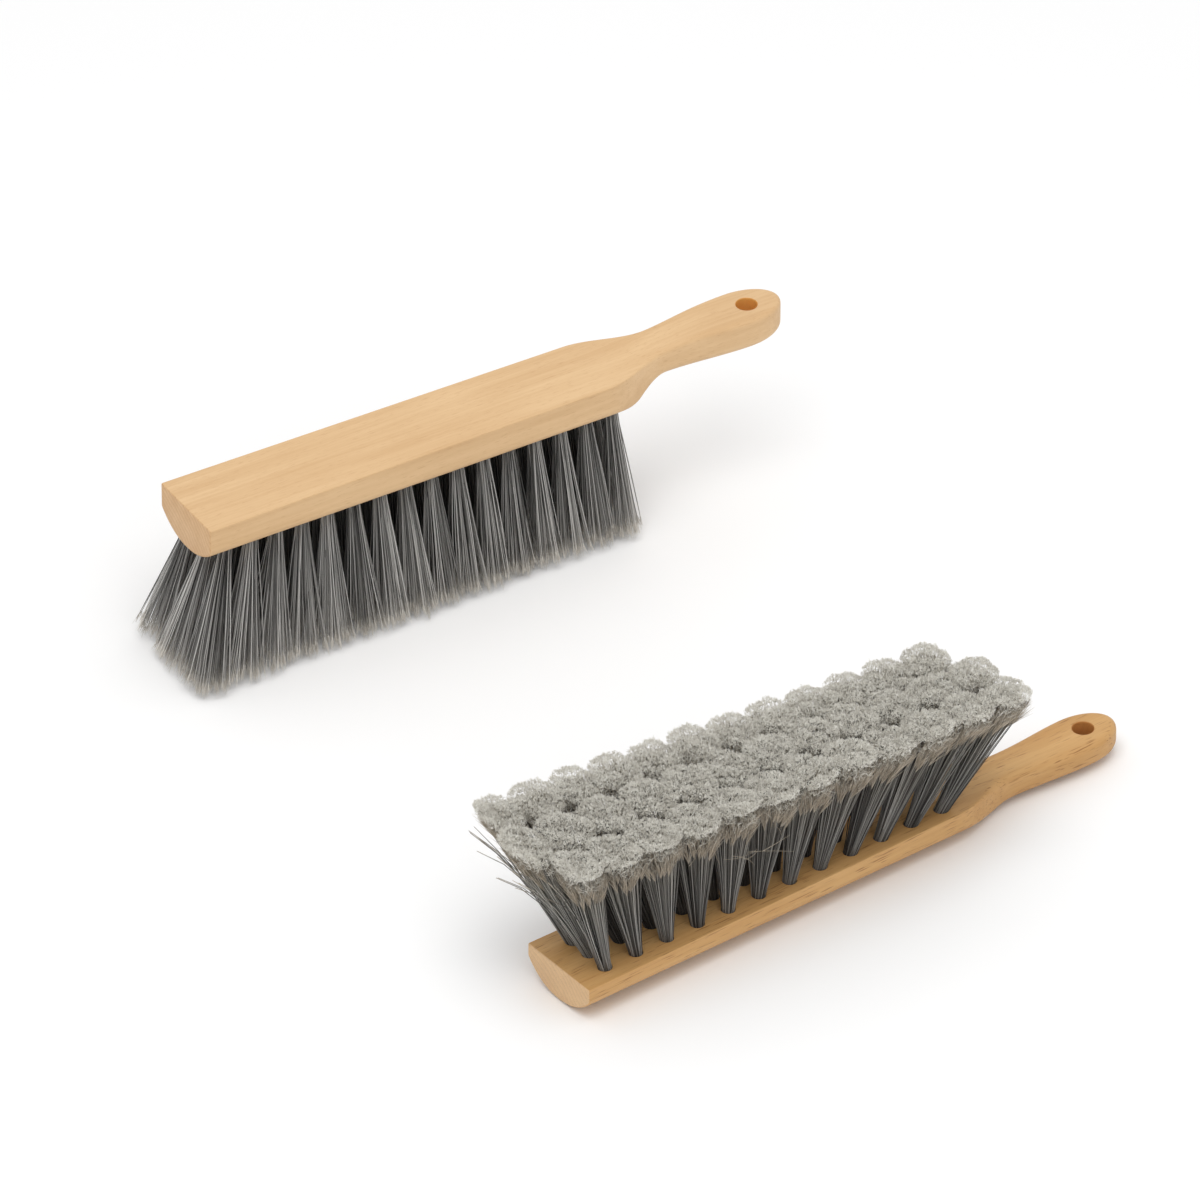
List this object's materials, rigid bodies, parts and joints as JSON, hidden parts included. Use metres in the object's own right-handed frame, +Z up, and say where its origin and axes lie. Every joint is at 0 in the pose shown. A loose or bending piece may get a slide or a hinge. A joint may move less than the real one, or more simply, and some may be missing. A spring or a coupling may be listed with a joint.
{
  "type": "bench brush set",
  "caption": "Wooden bench brushes with flagged grey bristles and hang-hole handles, shown standing on the bristles and lying bristles up.",
  "frame": {"origin": "centre of the set's footprint on the floor", "axes": "+X along the standing brush from its free end to its handle, +Y from the lying brush to the standing brush, +Z up"},
  "size_m": [0.3495, 0.3715, 0.0905],
  "materials": {
    "wood": "fine sanded beech with a thin clear lacquer",
    "bristle": "grey flagged filament, satin shafts and matt fuzzy tips",
    "bristle_root": "dark folded filament held in the wood",
    "anchor_wire": "flat tinned wire"
  },
  "bodies": {
    "standing_brush": {"standing_block": "wood", "standing_roots_front": "bristle_root", "standing_roots_middle": "bristle_root", "standing_roots_rear": "bristle_root", "standing_anchors_front": "anchor_wire", "standing_anchors_middle": "anchor_wire", "standing_anchors_rear": "anchor_wire"},
    "standing_row_front": {"standing_tufts_front": "bristle"},
    "standing_row_middle": {"standing_tufts_middle": "bristle"},
    "standing_row_rear": {"standing_tufts_rear": "bristle"},
    "lying_brush": {"lying_block": "wood", "lying_roots_front": "bristle_root", "lying_roots_middle": "bristle_root", "lying_roots_rear": "bristle_root", "lying_anchors_front": "anchor_wire", "lying_anchors_middle": "anchor_wire", "lying_anchors_rear": "anchor_wire"},
    "lying_row_front": {"lying_tufts_front": "bristle"},
    "lying_row_middle": {"lying_tufts_middle": "bristle"},
    "lying_row_rear": {"lying_tufts_rear": "bristle"}
  },
  "joints": [
    {"name": "lying_brush_lift", "type": "slide", "parent": "standing_brush", "child": "lying_brush", "axis": [0, 0, 1], "range_m": [0, 0.25]},
    {"name": "standing_bend_front", "type": "hinge", "parent": "standing_brush", "child": "standing_row_front", "pos_m": [-0.0412, 0.14139, 0.06199], "axis": [1, 0, 0], "range_deg": [-25, 25], "stiffness_Nm_per_rad": 0.45},
    {"name": "standing_bend_middle", "type": "hinge", "parent": "standing_brush", "child": "standing_row_middle", "pos_m": [-0.0412, 0.1559, 0.05885], "axis": [1, 0, 0], "range_deg": [-25, 25], "stiffness_Nm_per_rad": 0.45},
    {"name": "standing_bend_rear", "type": "hinge", "parent": "standing_brush", "child": "standing_row_rear", "pos_m": [-0.0412, 0.17041, 0.06199], "axis": [1, 0, 0], "range_deg": [-25, 25], "stiffness_Nm_per_rad": 0.45},
    {"name": "lying_bend_front", "type": "hinge", "parent": "lying_brush", "child": "lying_row_front", "pos_m": [-0.03446, -0.16262, 0.02265], "axis": [0.994, 0.1097, 0], "range_deg": [-25, 25], "stiffness_Nm_per_rad": 0.45},
    {"name": "lying_bend_middle", "type": "hinge", "parent": "lying_brush", "child": "lying_row_middle", "pos_m": [-0.03588, -0.1497, 0.02265], "axis": [0.994, 0.1097, 0], "range_deg": [-25, 25], "stiffness_Nm_per_rad": 0.45},
    {"name": "lying_bend_rear", "type": "hinge", "parent": "lying_brush", "child": "lying_row_rear", "pos_m": [-0.03731, -0.13678, 0.02265], "axis": [0.994, 0.1097, 0], "range_deg": [-25, 25], "stiffness_Nm_per_rad": 0.45}
  ],
  "couplings": [
    {"joint": "standing_bend_middle", "follows": "standing_bend_front", "ratio": 1},
    {"joint": "standing_bend_rear", "follows": "standing_bend_front", "ratio": 1},
    {"joint": "lying_bend_middle", "follows": "lying_bend_front", "ratio": 1},
    {"joint": "lying_bend_rear", "follows": "lying_bend_front", "ratio": 1}
  ]
}
